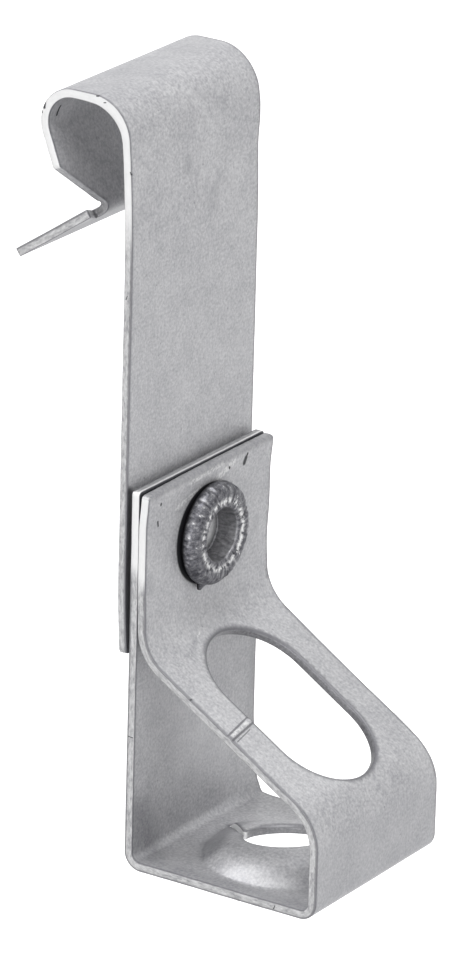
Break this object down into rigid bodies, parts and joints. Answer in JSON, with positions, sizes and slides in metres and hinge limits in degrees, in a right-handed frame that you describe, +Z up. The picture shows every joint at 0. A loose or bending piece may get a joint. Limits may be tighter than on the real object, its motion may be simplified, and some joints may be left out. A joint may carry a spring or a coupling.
{
  "type": "purlin clip with rod bracket",
  "caption": "Sprung strip-steel hook for a purlin's edge, with a folded strip bracket that swivels below it on a tubular rivet and carries a rod or cable support through its raised hole.",
  "frame": {"origin": "underside of the hook's crown, in the plane of the clip plate's rear face, at the middle of the strip", "axes": "+Z up along the plate, +X from the plate towards the bracket, Y across the strip"},
  "size_m": [0.0413, 0.025, 0.0893],
  "materials": {
    "galvanised_strip": "dull zinc coat with fine speckle and bright sheared edges",
    "rivet_steel": "rough dark zinc with bright flecks on the rolled ring"
  },
  "bodies": {
    "clip": {"purlin_clip": "galvanised_strip", "rivet": "rivet_steel"},
    "bracket": {"rod_bracket": "galvanised_strip"}
  },
  "joints": [
    {"name": "bracket_swivel", "type": "hinge", "parent": "clip", "child": "bracket", "pos_m": [0.0022, 0, -0.0514], "axis": [1, 0, 0], "continuous": true}
  ]
}
